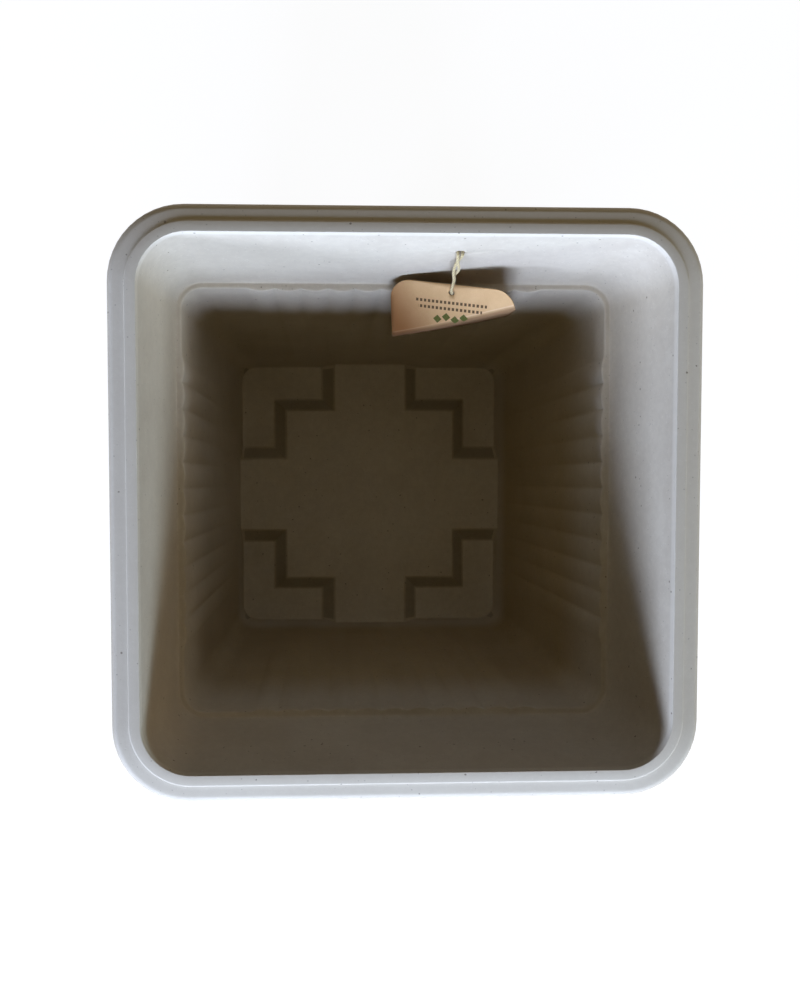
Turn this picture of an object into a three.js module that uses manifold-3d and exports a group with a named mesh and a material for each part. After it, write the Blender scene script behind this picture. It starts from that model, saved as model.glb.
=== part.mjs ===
// A square planter: one moulded pot with a stepped rim, fluted walls and hollow feet, and a card tag
// on a loop of twine inside it. Millimetres, +Z up, origin under the middle of the feet, +Y towards the
// wall that carries the tag.
import * as THREE from 'three';
import Module from 'manifold-3d';

const wasm = await Module();
wasm.setup();

// Pot
const RIM_WIDTH = 296; // over the skirt
const HEIGHT = 294; // feet to lip
const WALL = 3;
const LIP_WIDTH = 6;
const LIP_RISE = 1.7; // lip above the flange
const LIP_EDGE = 1.3; // rounding of the lip's edges
const FLANGE = 9; // lip to the outside of the skirt
const FLANGE_EDGE = 4.5; // rounding from flange to skirt
const SKIRT_DROP = 34; // below the top of the lip
const SKIRT_EDGE = 0.8;
const COLLAR_DROP = 75.2; // top of the lip to the step
const COLLAR_TAPER = 8.3; // on each side
const STEP = 3.5; // width of the ledge under the collar
const BODY_TAPER = 17.9; // on each side, step to floor
const RIM_CORNER = 38; // corner radius of the skirt
const LIP_CORNER = 25; // corner radius inside the lip
const COLLAR_CORNER = 15; // corner radius inside the foot of the collar
const BODY_CORNER = 12; // corner radius inside the fluted body
const FLOOR_EDGE = 3; // rounding between wall and floor
const CORNER_STEPS = 9;
const ROUND_STEPS = 6;
const EDGE_STEPS = 3;
const BITE = 0.1; // how far joined solids and cuts reach into each other
const SEAM = 0.05; // overlap of a wall's plain and fluted lengths

// Flutes
const FLUTES = 11; // on each wall
const FLUTED_SHARE = 0.69; // of the wall's width
const FLUTE_DEPTH = 1.5; // at the step, fading to nothing near the floor
const FLUTE_POINTS = 5;
const FLUTE_END = 16; // above the floor

// Feet
const FOOT_HEIGHT = 12;
const FOOT_SLOPE = 11; // run of a foot's inner sides
const FOOT_EDGE = 1.5;
const CROSS_HALF = 66.2; // platform's centre square
const ARM_HALF = 27.7; // platform's arms
const GATE_RADIUS = 1.6;
const GATE_DEPTH = 0.5;

// Twine, its hole and its knot
const TWINE = 1.7; // across one strand
const STRAND_OFFSET = 1.2; // of each strand from the middle of the pair
const HOLE_X = 29;
const HOLE_DROP = 25.4; // below the top of the lip
const HOLE_RADIUS = 2.4;
const HANG_OUT = 1.6; // pivot in front of the wall
const TWINE_DROP = 27; // pivot to the tag's hole
const TWINE_OUT = 13.6;
const TWINE_TURNS = 0.75;
const KNOT_TURNS = 3;
const KNOT_RADIUS = 3.1;
const KNOT_RIDGE = 0.6; // of each turn
const KNOT_TAIL = 9;
const TUBE_SIDES = 8;
const CLEAR = 0.3; // between pieces that touch

// Tag
const TAG_WIDTH = 71;
const TAG_LENGTH = 92;
const TAG_THICK = 0.5;
const TAG_CORNER = 12;
const TAG_HOLE = 1.6; // radius
const TAG_HOLE_DOWN = 4.6; // below the top edge
const TAG_YAW = -37.5; // degrees, about the vertical
const TAG_TILT = 40; // degrees from lying flat
const TAG_ROLL = 33.5; // degrees, in the card's plane
const FOLD_DOWN = 16; // crease below the hole, on the middle line
const FOLD_SKEW = 20.4; // degrees, crease against the top edge
const FOLD_BACK = 70; // degrees
const FOLD_RADIUS = 3.5;
const FOLD_STEPS = 6;

const COLOURS = { pot: 0xc2b7a7, card: 0xc79e73, twine: 0xd4c7aa };

// Half widths and heights that follow from the driving dimensions
const skirtHalf = RIM_WIDTH / 2;
const lipOuter = skirtHalf - FLANGE;
const lipInner = lipOuter - LIP_WIDTH;
const collarHalf = lipInner - COLLAR_TAPER;
const bodyHalf = collarHalf - STEP;
const floorHalf = bodyHalf - BODY_TAPER;
const stepZ = HEIGHT - COLLAR_DROP;
const flangeZ = HEIGHT - LIP_RISE;
const floorZ = FOOT_HEIGHT + WALL;

const radians = THREE.MathUtils.degToRad;
const lerp = THREE.MathUtils.lerp;

/** Half width of the inside of the collar at a height. */
const collarAt = (z) => lerp(collarHalf, lipInner, (z - stepZ) / (HEIGHT - stepZ));

/** Corner radius of the inside of the collar at a height. */
const collarCornerAt = (z) => lerp(COLLAR_CORNER, LIP_CORNER, (z - stepZ) / (HEIGHT - stepZ));

/** Half width of the inside of the fluted body at a height. */
const bodyAt = (z) => lerp(floorHalf, bodyHalf, (z - floorZ) / (stepZ - floorZ));

/** Turns a closed geometry's vertices and triangles into a manifold. */
function solid(vertices, triangles) {
  const mesh = new wasm.Mesh({
    numProp: 3,
    vertProperties: new Float32Array(vertices.flatMap((v) => v.toArray())),
    triVerts: new Uint32Array(triangles.flat()),
  });
  mesh.merge();
  return new wasm.Manifold(mesh);
}

/** Turns a three.js geometry into a manifold. */
function fromGeometry(geometry) {
  const place = geometry.getAttribute('position');
  const count = geometry.index ? geometry.index.count : place.count;
  const vertices = Array.from({ length: place.count }, (_, i) => (
    new THREE.Vector3().fromBufferAttribute(place, i)
  ));
  const corner = (i) => (geometry.index ? geometry.index.getX(i) : i);
  const triangles = Array.from({ length: count / 3 }, (_, i) => (
    [corner(3 * i), corner(3 * i + 1), corner(3 * i + 2)]
  ));
  return solid(vertices, triangles);
}

/** Turns a manifold into a three.js geometry with flat faces. */
function toGeometry(manifold) {
  const mesh = manifold.getMesh();
  const indexed = new THREE.BufferGeometry();
  indexed.setAttribute('position', new THREE.BufferAttribute(Float32Array.from(mesh.vertProperties), 3));
  indexed.setIndex(Array.from(mesh.triVerts));
  const geometry = indexed.toNonIndexed();
  geometry.computeVertexNormals();
  return geometry;
}

/** A named mesh with a material of its own. */
function piece(name, geometry, colour, roughness) {
  const material = new THREE.MeshStandardMaterial({ color: colour, roughness, metalness: 0 });
  const mesh = new THREE.Mesh(geometry, material);
  mesh.name = name;
  return mesh;
}

/** Rounded square, anticlockwise. Its sides have flute points when a flute depth is given. */
function square(half, radius, fluteDepth = null) {
  const points = [];
  const straight = half - radius;
  const pitch = (2 * half * FLUTED_SHARE) / FLUTES;
  for (let side = 0; side < 4; side += 1) {
    const turn = (side * Math.PI) / 2;
    const turned = (x, y) => points.push(new THREE.Vector2(x, y).rotateAround(new THREE.Vector2(), turn));
    if (fluteDepth !== null) {
      for (let i = 0; i <= FLUTES * FLUTE_POINTS; i += 1) {
        const t = (i % FLUTE_POINTS) / FLUTE_POINTS;
        turned(half - fluteDepth * 4 * t * (1 - t), (i / FLUTE_POINTS - FLUTES / 2) * pitch);
      }
    }
    for (let i = 0; i <= CORNER_STEPS; i += 1) {
      const angle = (i / CORNER_STEPS) * (Math.PI / 2);
      turned(straight + radius * Math.cos(angle), straight + radius * Math.sin(angle));
    }
  }
  return points;
}

/** Closed solid through outlines of equal point counts, listed from the bottom up as [height, outline]. */
function loft(levels) {
  const count = levels[0][1].length;
  const vertices = levels.flatMap(([z, outline]) => outline.map((p) => new THREE.Vector3(p.x, p.y, z)));
  const triangles = [];
  for (let level = 0; level + 1 < levels.length; level += 1) {
    for (let i = 0; i < count; i += 1) {
      const a = level * count + i;
      const b = level * count + ((i + 1) % count);
      triangles.push([a, b, b + count], [a, b + count, a + count]);
    }
  }
  const top = (levels.length - 1) * count;
  const cap = (outline) => THREE.ShapeUtils.triangulateShape(outline, []);
  for (const [a, b, c] of cap(levels[0][1])) triangles.push([a, c, b]);
  for (const [a, b, c] of cap(levels.at(-1)[1])) triangles.push([top + a, top + b, top + c]);
  return solid(vertices, triangles);
}

/** Levels of a quarter round whose half width shrinks from `half` by `radius` as it rises to `topZ`. */
function quarterRound(half, radius, topZ, steps, outlineAt) {
  return Array.from({ length: steps + 1 }, (_, i) => {
    const angle = (i / steps) * (Math.PI / 2);
    const across = half - radius * (1 - Math.cos(angle));
    return [topZ - radius * (1 - Math.sin(angle)), outlineAt(across)];
  });
}

/** Outline of the rim at a half width between the lip's outer side and the skirt. */
const rimOutline = (half) => (
  square(half, lerp(LIP_CORNER + LIP_WIDTH, RIM_CORNER, (half - lipOuter) / FLANGE))
);

/** The rim's lip, flange and skirt, still filled inside. */
function rimSolid() {
  return loft([
    [HEIGHT - SKIRT_DROP, rimOutline(skirtHalf - SKIRT_EDGE)],
    [HEIGHT - SKIRT_DROP + SKIRT_EDGE, rimOutline(skirtHalf)],
    ...quarterRound(skirtHalf, FLANGE_EDGE, flangeZ, ROUND_STEPS, rimOutline),
    [flangeZ, rimOutline(lipOuter)],
    ...quarterRound(lipOuter, LIP_EDGE, HEIGHT, EDGE_STEPS, rimOutline),
  ]);
}

/** The hollow behind the skirt, still filled inside. */
function rimHollow() {
  return loft([
    [HEIGHT - SKIRT_DROP - BITE, rimOutline(skirtHalf - WALL)],
    ...quarterRound(skirtHalf - WALL, FLANGE_EDGE - WALL, flangeZ - WALL, EDGE_STEPS, rimOutline),
  ]);
}

/** The outside of the collar, from the step up into the rim. */
function collarOutside() {
  return loft([stepZ - WALL, flangeZ - WALL / 2].map((z) => {
    const inside = Math.max(z, stepZ);
    return [z, square(collarAt(inside) + WALL, collarCornerAt(inside) + WALL)];
  }));
}

/** The outside of the fluted body, from the underside of the floor up into the collar. */
function bodyOutside() {
  const plain = (z, half) => [z, square(half, BODY_CORNER + WALL)];
  const fluteZ = floorZ + FLUTE_END;
  const base = loft([
    plain(FOOT_HEIGHT, bodyAt(FOOT_HEIGHT) + WALL - FLOOR_EDGE),
    plain(FOOT_HEIGHT + FLOOR_EDGE * 0.3, bodyAt(FOOT_HEIGHT) + WALL - FLOOR_EDGE * 0.3),
    plain(FOOT_HEIGHT + FLOOR_EDGE, bodyAt(FOOT_HEIGHT + FLOOR_EDGE) + WALL),
    plain(fluteZ, bodyAt(fluteZ) + WALL),
  ]);
  return base.add(fluted(fluteZ - SEAM, stepZ - WALL / 2, WALL));
}

/** A fluted frustum whose flutes deepen from nothing at its foot. */
function fluted(bottomZ, topZ, outset) {
  const level = (z, depth) => [z, square(bodyAt(z) + outset, BODY_CORNER + outset, depth)];
  const middleZ = lerp(bottomZ, topZ, 0.5);
  return loft([level(bottomZ, 0), level(middleZ, FLUTE_DEPTH * 0.6), level(topZ, FLUTE_DEPTH)]);
}

/** The room inside the pot, down to the platform. */
function cavity() {
  const lip = (half) => square(half, LIP_CORNER + half - lipInner);
  const collar = loft([
    [stepZ, square(collarHalf, COLLAR_CORNER)],
    [HEIGHT - LIP_EDGE, lip(lipInner)],
    [HEIGHT - LIP_EDGE * 0.3, lip(lipInner + LIP_EDGE * 0.3)],
    [HEIGHT, lip(lipInner + LIP_EDGE)],
    [HEIGHT + BITE, lip(lipInner + LIP_EDGE)],
  ]);
  const fluteZ = floorZ + FLUTE_END;
  const plain = (z, half) => [z, square(half, BODY_CORNER)];
  const base = loft([
    plain(floorZ, floorHalf - FLOOR_EDGE),
    plain(floorZ + FLOOR_EDGE * 0.3, floorHalf - FLOOR_EDGE * 0.3),
    plain(floorZ + FLOOR_EDGE, bodyAt(floorZ + FLOOR_EDGE)),
    plain(fluteZ, bodyAt(fluteZ)),
  ]);
  return collar.add(fluted(fluteZ - SEAM, stepZ + BITE, 0)).add(base);
}

/** L-shaped outline in one corner of the floor: outer walls, inner sides and ends. */
function footOutline(outer, inner, end, radius) {
  const points = [];
  for (let i = 0; i <= CORNER_STEPS; i += 1) {
    const angle = (i / CORNER_STEPS) * (Math.PI / 2);
    points.push([outer - radius + radius * Math.cos(angle), outer - radius + radius * Math.sin(angle)]);
  }
  points.push([end, outer], [end, inner], [inner, inner], [inner, end], [outer, end]);
  return points.map(([x, y]) => new THREE.Vector2(x, y));
}

/** The four feet, or the four pockets inside them, as lofts between the given heights. */
function feet(heights, outerAt, sideShift, radius) {
  const run = (z) => ((floorZ - z) * FOOT_SLOPE) / FOOT_HEIGHT + sideShift;
  const levels = heights.map(([z, inset]) => [
    z,
    footOutline(outerAt(z) - inset, CROSS_HALF + run(z) + inset, ARM_HALF + run(z) + inset, radius),
  ]);
  const one = loft(levels);
  return [0, 90, 180, 270].map((angle) => one.rotate([0, 0, angle]));
}

/** The pot: outside shells joined, then the room, pockets, twine hole and gate mark cut out. */
function potShell() {
  const sideWall = (WALL * Math.hypot(FOOT_SLOPE, FOOT_HEIGHT)) / FOOT_HEIGHT;
  const outsideFeet = feet(
    [[0, FOOT_EDGE], [FOOT_EDGE, 0], [FOOT_HEIGHT + WALL / 2, 0]],
    (z) => bodyAt(z) + WALL - BITE, -sideWall, BODY_CORNER + WALL,
  );
  const pockets = feet([[WALL, 0], [floorZ + BITE, 0]], (z) => bodyAt(z) - BITE, 0, BODY_CORNER);
  const hole = fromGeometry(new THREE.CylinderGeometry(HOLE_RADIUS, HOLE_RADIUS, 4 * WALL, 20))
    .translate([HOLE_X, holeY + WALL / 2, holeZ]);
  const gateMark = new THREE.CylinderGeometry(GATE_RADIUS, GATE_RADIUS, 2 * GATE_DEPTH, 16);
  const gate = fromGeometry(gateMark.rotateX(Math.PI / 2)).translate([0, 0, floorZ]);
  let pot = rimSolid().subtract(rimHollow()).add(collarOutside()).add(bodyOutside());
  for (const foot of outsideFeet) pot = pot.add(foot);
  for (const cut of [cavity(), ...pockets, hole, gate]) pot = pot.subtract(cut);
  return toGeometry(pot);
}

const holeZ = HEIGHT - HOLE_DROP;
const holeY = collarAt(holeZ); // inner face of the far wall at the hole
const pivot = new THREE.Vector3(HOLE_X, holeY - HANG_OUT, holeZ);
const tagHole = pivot.clone().add(new THREE.Vector3(0, -TWINE_OUT, -TWINE_DROP));
const tagTurn = new THREE.Matrix4().makeRotationZ(radians(TAG_YAW))
  .multiply(new THREE.Matrix4().makeRotationX(radians(TAG_TILT)))
  .multiply(new THREE.Matrix4().makeRotationZ(radians(TAG_ROLL)));

/** A point given on the card, across, up and out of its face from the hole, in the pot's frame. */
const onCard = (x, y, z) => new THREE.Vector3(x, y, z).applyMatrix4(tagTurn).add(tagHole);

/** Round tube of twine along a curve. */
function twineTube(curve, steps) {
  const ring = new THREE.Shape().absarc(0, 0, TWINE / 2, 0, 2 * Math.PI);
  return new THREE.ExtrudeGeometry(ring, {
    steps, extrudePath: curve, curveSegments: TUBE_SIDES, bevelEnabled: false,
  });
}

/** One strand of the twisted pair, from the pivot down to near the card. */
function twistedStrand(sign, count) {
  const foot = onCard(1.99, 10.31, 4.04);
  const along = foot.clone().sub(pivot);
  const across = new THREE.Vector3(1, 0, 0);
  const out = new THREE.Vector3().crossVectors(across, along).normalize();
  return Array.from({ length: count + 1 }, (_, i) => {
    const angle = (i / count) * TWINE_TURNS * 2 * Math.PI;
    const offset = across.clone().multiplyScalar(Math.cos(angle)).addScaledVector(out, Math.sin(angle));
    return pivot.clone().addScaledVector(along, i / count).addScaledVector(offset, sign * STRAND_OFFSET);
  });
}

/** Least gap between stretches of a tube that lie more than two diameters apart along it. */
function leastGap(curve, steps) {
  const points = curve.getSpacedPoints(steps);
  const apart = Math.ceil((2 * TWINE * steps) / curve.getLength());
  const gaps = points.flatMap((p, i) => points.slice(i + apart).map((q) => p.distanceTo(q) - TWINE));
  return Math.min(...gaps);
}

/** The loop of twine: down the strand in front of the card, through its hole and up the other. */
function twineLoop() {
  const cardFace = onCard(0, 0, 1).sub(tagHole);
  const [front, back] = [twistedStrand(1, 8), twistedStrand(-1, 8)]
    .sort((s, t) => t.at(-1).dot(cardFace) - s.at(-1).dot(cardFace));
  const curve = new THREE.CatmullRomCurve3([
    ...front,
    onCard(1.02, 3.92, 4.16), onCard(0.59, 0.86, 2.4), onCard(0.16, 0.04, -0.24),
    onCard(-0.14, 1.33, -2.85), onCard(-0.18, 4.02, -3.85), onCard(0.12, 7.01, -2.57),
    ...back.reverse(),
  ]);
  console.log(`twine_loop: ${curve.getLength().toFixed(1)} mm long, `
    + `least gap to itself ${leastGap(curve, 240).toFixed(2)} mm`);
  return twineTube(curve, 72);
}

/** The knotted ends behind the wall: two strands through the hole, a ridged barrel and two tails. */
function twineKnot() {
  const from = pivot.y + TWINE / 2 + CLEAR;
  const barrelY = collarAt(holeZ + KNOT_RADIUS + TWINE) + WALL + CLEAR;
  const barrelLength = KNOT_TURNS * TWINE;
  const profile = [new THREE.Vector2(0, 0)];
  for (let i = 0; i <= KNOT_TURNS * 6; i += 1) {
    const ridge = KNOT_RIDGE * Math.abs(Math.sin((i / 6) * Math.PI));
    profile.push(new THREE.Vector2(KNOT_RADIUS + ridge, (i / (KNOT_TURNS * 6)) * barrelLength));
  }
  profile.push(new THREE.Vector2(0, barrelLength));
  let knot = fromGeometry(new THREE.LatheGeometry(profile, 18)).translate([HOLE_X, barrelY, holeZ]);
  for (const sign of [-1, 1]) {
    const x = HOLE_X + sign * STRAND_OFFSET;
    const end = barrelY + barrelLength;
    const strand = new THREE.CatmullRomCurve3([
      new THREE.Vector3(x, from, holeZ),
      new THREE.Vector3(x, barrelY, holeZ),
      new THREE.Vector3(x, end - 1, holeZ),
      new THREE.Vector3(x + sign * 1.2, end + 1.6, holeZ - 2),
      new THREE.Vector3(x + sign * 2.2, end + 1.8, holeZ - KNOT_TAIL),
    ]);
    knot = knot.add(fromGeometry(twineTube(strand, 14)));
  }
  return toGeometry(knot);
}

/** Cuts a convex outline by the half plane where `distance` is positive. */
function clip(outline, distance) {
  return outline.flatMap((p, i) => {
    const q = outline[(i + 1) % outline.length];
    const [dp, dq] = [distance(p), distance(q)];
    const kept = dp >= 0 ? [p] : [];
    return dp * dq < 0 ? [...kept, p.clone().lerp(q, dp / (dp - dq))] : kept;
  });
}

/** The card's flat outline, anticlockwise, with its hole at the origin. */
function cardOutline() {
  const [right, top] = [TAG_WIDTH / 2, TAG_HOLE_DOWN];
  const bottom = top - TAG_LENGTH;
  const points = [];
  const centres = [
    [right - TAG_CORNER, top - TAG_CORNER], [TAG_CORNER - right, top - TAG_CORNER],
    [TAG_CORNER - right, bottom + TAG_CORNER], [right - TAG_CORNER, bottom + TAG_CORNER],
  ];
  centres.forEach(([x, y], corner) => {
    for (let i = 0; i <= 6; i += 1) {
      const angle = (corner + i / 6) * (Math.PI / 2);
      points.push(new THREE.Vector2(x + TAG_CORNER * Math.cos(angle), y + TAG_CORNER * Math.sin(angle)));
    }
  });
  return points;
}

/** The creased card: flat strips side by side, given a thickness, then bent back along the crease. */
function hangTag() {
  const along = new THREE.Vector2(Math.cos(radians(FOLD_SKEW)), Math.sin(radians(FOLD_SKEW)));
  const down = new THREE.Vector2(along.y, -along.x);
  const crease = new THREE.Vector2(0, -FOLD_DOWN);
  const below = (p) => p.clone().sub(crease).dot(down);
  const bendLength = FOLD_RADIUS * radians(FOLD_BACK);
  const cuts = Array.from({ length: FOLD_STEPS + 1 }, (_, i) => (i / FOLD_STEPS) * bendLength);
  const limits = [-Infinity, ...cuts, Infinity];
  const hole = Array.from({ length: 16 }, (_, i) => {
    const angle = (-i / 16) * 2 * Math.PI;
    return new THREE.Vector2(TAG_HOLE * Math.cos(angle), TAG_HOLE * Math.sin(angle));
  });

  const flat = [];
  const keys = new Map();
  const indexOf = (p) => {
    const key = `${p.x.toFixed(4)},${p.y.toFixed(4)}`;
    if (!keys.has(key)) keys.set(key, flat.push(p) - 1);
    return keys.get(key);
  };
  const faces = [];
  for (let i = 0; i + 1 < limits.length; i += 1) {
    let strip = cardOutline();
    if (limits[i] > -Infinity) strip = clip(strip, (p) => below(p) - limits[i]);
    if (limits[i + 1] < Infinity) strip = clip(strip, (p) => limits[i + 1] - below(p));
    const holes = i === 0 ? [hole] : [];
    const index = [...strip, ...holes.flat()].map(indexOf);
    const cut = THREE.ShapeUtils.triangulateShape(strip, holes);
    for (const face of cut) faces.push(face.map((k) => index[k]));
  }

  const bend = (p, z) => {
    const s = below(p);
    if (s <= 0) return new THREE.Vector3(p.x, p.y, z);
    const angle = Math.min(s, bendLength) / FOLD_RADIUS;
    const rest = Math.max(s - bendLength, 0);
    const forward = (FOLD_RADIUS + z) * Math.sin(angle) + rest * Math.cos(angle);
    const height = (FOLD_RADIUS + z) * Math.cos(angle) - FOLD_RADIUS - rest * Math.sin(angle);
    const foot = p.clone().addScaledVector(down, forward - s);
    return new THREE.Vector3(foot.x, foot.y, height);
  };
  const count = flat.length;
  const vertices = [TAG_THICK / 2, -TAG_THICK / 2].flatMap((z) => flat.map((p) => bend(p, z)));
  const triangles = faces.flatMap(([a, b, c]) => [[a, b, c], [a + count, c + count, b + count]]);
  const edges = new Set(faces.flatMap(([a, b, c]) => [`${a},${b}`, `${b},${c}`, `${c},${a}`]));
  for (const edge of edges) {
    const [a, b] = edge.split(',').map(Number);
    if (!edges.has(`${b},${a}`)) triangles.push([a, a + count, b + count], [a, b + count, b]);
  }
  const geometry = toGeometry(solid(vertices, triangles));
  return geometry.applyMatrix4(tagTurn).translate(tagHole.x, tagHole.y, tagHole.z);
}

const planter = new THREE.Group();
planter.add(
  piece('pot_shell', potShell(), COLOURS.pot, 0.6),
  piece('twine_knot', twineKnot(), COLOURS.twine, 0.9),
  piece('twine_loop', twineLoop(), COLOURS.twine, 0.9),
  piece('hang_tag', hangTag(), COLOURS.card, 0.85),
);

export default planter;
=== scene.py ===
import logging
import math
from dataclasses import dataclass
from enum import Enum
from functools import reduce
from typing import Any, Iterable, Sequence

import bmesh
import bpy
from bmesh.types import BMEdge, BMesh, BMFace, BMVert
from mathutils import Matrix, Vector


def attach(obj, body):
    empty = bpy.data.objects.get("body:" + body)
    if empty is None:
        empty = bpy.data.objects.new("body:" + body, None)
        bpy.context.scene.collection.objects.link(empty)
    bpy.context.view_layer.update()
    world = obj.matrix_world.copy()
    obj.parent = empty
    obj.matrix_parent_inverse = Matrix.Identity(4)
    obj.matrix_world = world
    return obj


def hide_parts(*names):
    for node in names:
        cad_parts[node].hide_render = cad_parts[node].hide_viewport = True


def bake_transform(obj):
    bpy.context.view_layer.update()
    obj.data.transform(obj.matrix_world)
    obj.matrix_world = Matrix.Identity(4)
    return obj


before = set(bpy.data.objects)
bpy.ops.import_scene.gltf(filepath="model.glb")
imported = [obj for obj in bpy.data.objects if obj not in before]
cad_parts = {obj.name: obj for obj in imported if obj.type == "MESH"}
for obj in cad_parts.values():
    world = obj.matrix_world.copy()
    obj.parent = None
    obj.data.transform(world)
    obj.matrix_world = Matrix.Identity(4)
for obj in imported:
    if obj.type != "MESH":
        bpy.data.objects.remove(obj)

LOG = logging.getLogger("square_planter")
MM = 0.001
TOUCH = 1e-7
QUARTER = math.pi / 2
FINE_STEPS = 24
WHITE = (1.0, 1.0, 1.0, 1.0)
Span = tuple[float, float]
Triple = tuple[float, float, float]
Colour = tuple[float, float, float, float]
Socket = bpy.types.NodeSocket


class Body(Enum):
    """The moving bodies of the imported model."""

    POT = "pot"
    KNOT = "knot"
    TWINE = "twine"
    TAG = "tag"


class Slot(Enum):
    """The record's material slots."""

    POT = "pot"
    TWINE = "twine"
    CARD = "card"


def mix(a: float, b: float, t: float) -> float:
    """Value at share t of the way from a to b."""
    return a + (b - a) * t


def spread(first: float, last: float, steps: int, start: int = 0) -> list[float]:
    """Evenly spaced values.

    Args:
        first: Value of step 0.
        last: Value of the last step.
        steps: Number of steps.
        start: The step to start from.

    Returns:
        The values, up to that of the last step.
    """
    return [mix(first, last, i / steps) for i in range(start, steps + 1)]


@dataclass
class NodeSheet:
    """A material's or world's nodes, with short calls to add and join them."""

    tree: bpy.types.NodeTree

    def add(self, kind: str, inputs: dict[Any, Any] | None = None, **settings: Any) -> bpy.types.Node:
        """Adds a node.

        Args:
            kind: The node's type, without its ShaderNode prefix.
            inputs: Values or output sockets by input name or number.
            settings: The node's own properties.

        Returns:
            The new node.
        """
        node = self.tree.nodes.new("ShaderNode" + kind)
        for name, value in settings.items():
            setattr(node, name, value)
        self.fill(node, inputs or {})
        return node

    def fill(self, node: bpy.types.Node, inputs: dict[Any, Any]) -> None:
        """Sets a node's inputs, or joins them to other nodes.

        Args:
            node: The node.
            inputs: Values or output sockets by input name or number.
        """
        for name, value in inputs.items():
            if isinstance(value, Socket):
                self.tree.links.new(value, node.inputs[name])
            else:
                node.inputs[name].default_value = value

    def maths(self, operation: str, *values: Any) -> Socket:
        """Result of a Math node on numbers or sockets."""
        return self.add("Math", dict(enumerate(values)), operation=operation).outputs[0]

    def product(self, *values: Any) -> Socket:
        """Product of numbers and sockets."""
        return reduce(lambda a, b: self.maths("MULTIPLY", a, b), values)

    def total(self, *values: Any) -> Socket:
        """Sum of numbers and sockets."""
        return reduce(lambda a, b: self.maths("ADD", a, b), values)

    def blend(self, share: Any, a: Any, b: Any, mode: str = "MIX") -> Socket:
        """Colour between a and b."""
        return self.add("MixRGB", {0: share, 1: a, 2: b}, blend_type=mode).outputs[0]

    def band(self, value: Any, low: float, high: float, to_low: float = 0.0, to_high: float = 1.0) -> Any:
        """Value mapped smoothly from one range to another and held there."""
        node = self.add("MapRange", {"Value": value, "From Min": low, "From Max": high, "To Min": to_low,
                                     "To Max": to_high}, interpolation_type="SMOOTHSTEP", clamp=True)
        return node.outputs[0]

    def bell(self, value: Any, width: float) -> Socket:
        """Bell curve of a value, 1 at zero."""
        return self.maths("EXPONENT", self.product(value, value, -1.0 / width ** 2))

    def noise(self, place: Any, scale: float, detail: float, rough: float = 0.5) -> Socket:
        """Noise of a scale in lumps per metre, or per unit of the map."""
        node = self.add("TexNoise", {"Vector": place, "Scale": scale, "Detail": detail, "Roughness": rough})
        return node.outputs["Fac"]

    def bump(self, height: Any, depth: float, strength: float, **more: Any) -> Socket:
        """Normal of a surface with the given relief, over another one where that is given."""
        inputs = {"Height": height, "Distance": depth, "Strength": strength, **more}
        return self.add("Bump", inputs).outputs[0]

    def seeing_rays(self) -> Socket:
        """1 for the rays that show the background: the camera's own, off gloss and through glass.

        Returns:
            The share's socket.
        """
        rays = self.add("LightPath").outputs
        direct = self.maths("MAXIMUM", rays["Is Camera Ray"], rays["Is Transmission Ray"])
        return self.maths("MAXIMUM", direct, rays["Is Glossy Ray"])


def new_material(name: str) -> tuple[bpy.types.Material, NodeSheet, bpy.types.Node]:
    """A material with an empty Principled shader.

    Args:
        name: The material's name.

    Returns:
        The material, its nodes and the shader.
    """
    material = bpy.data.materials.new(name)
    material.use_nodes = True
    sheet = NodeSheet(material.node_tree)
    shader = next(n for n in material.node_tree.nodes if n.type == "BSDF_PRINCIPLED")
    return material, sheet, shader


@dataclass(frozen=True)
class Speck:
    """A kind of speck: cells per metre, radius in its cell, share of cells that hold one, its strength."""

    per_metre: float
    size: float
    share: float
    strength: float
    colour: Colour
    smallest: float = 0.35
    soft_edge: float = 0.45

    def mask(self, sheet: NodeSheet, place: Any) -> Socket:
        """Mask of the scattered specks.

        Args:
            sheet: The material's nodes.
            place: Object coordinates.

        Returns:
            The mask's socket.
        """
        cells = sheet.add("TexVoronoi", {"Vector": place, "Scale": self.per_metre, "Randomness": 1.0})
        chance = sheet.add("SeparateColor", {0: cells.outputs["Color"]})
        grown = sheet.product(sheet.band(chance.outputs[1], 0.0, 1.0, self.smallest, 1.0), self.size)
        near = sheet.maths("SUBTRACT", grown, cells.outputs["Distance"])
        spot = sheet.band(near, 0.0, self.size * self.soft_edge)
        return sheet.product(spot, sheet.maths("LESS_THAN", chance.outputs[0], self.share))


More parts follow.
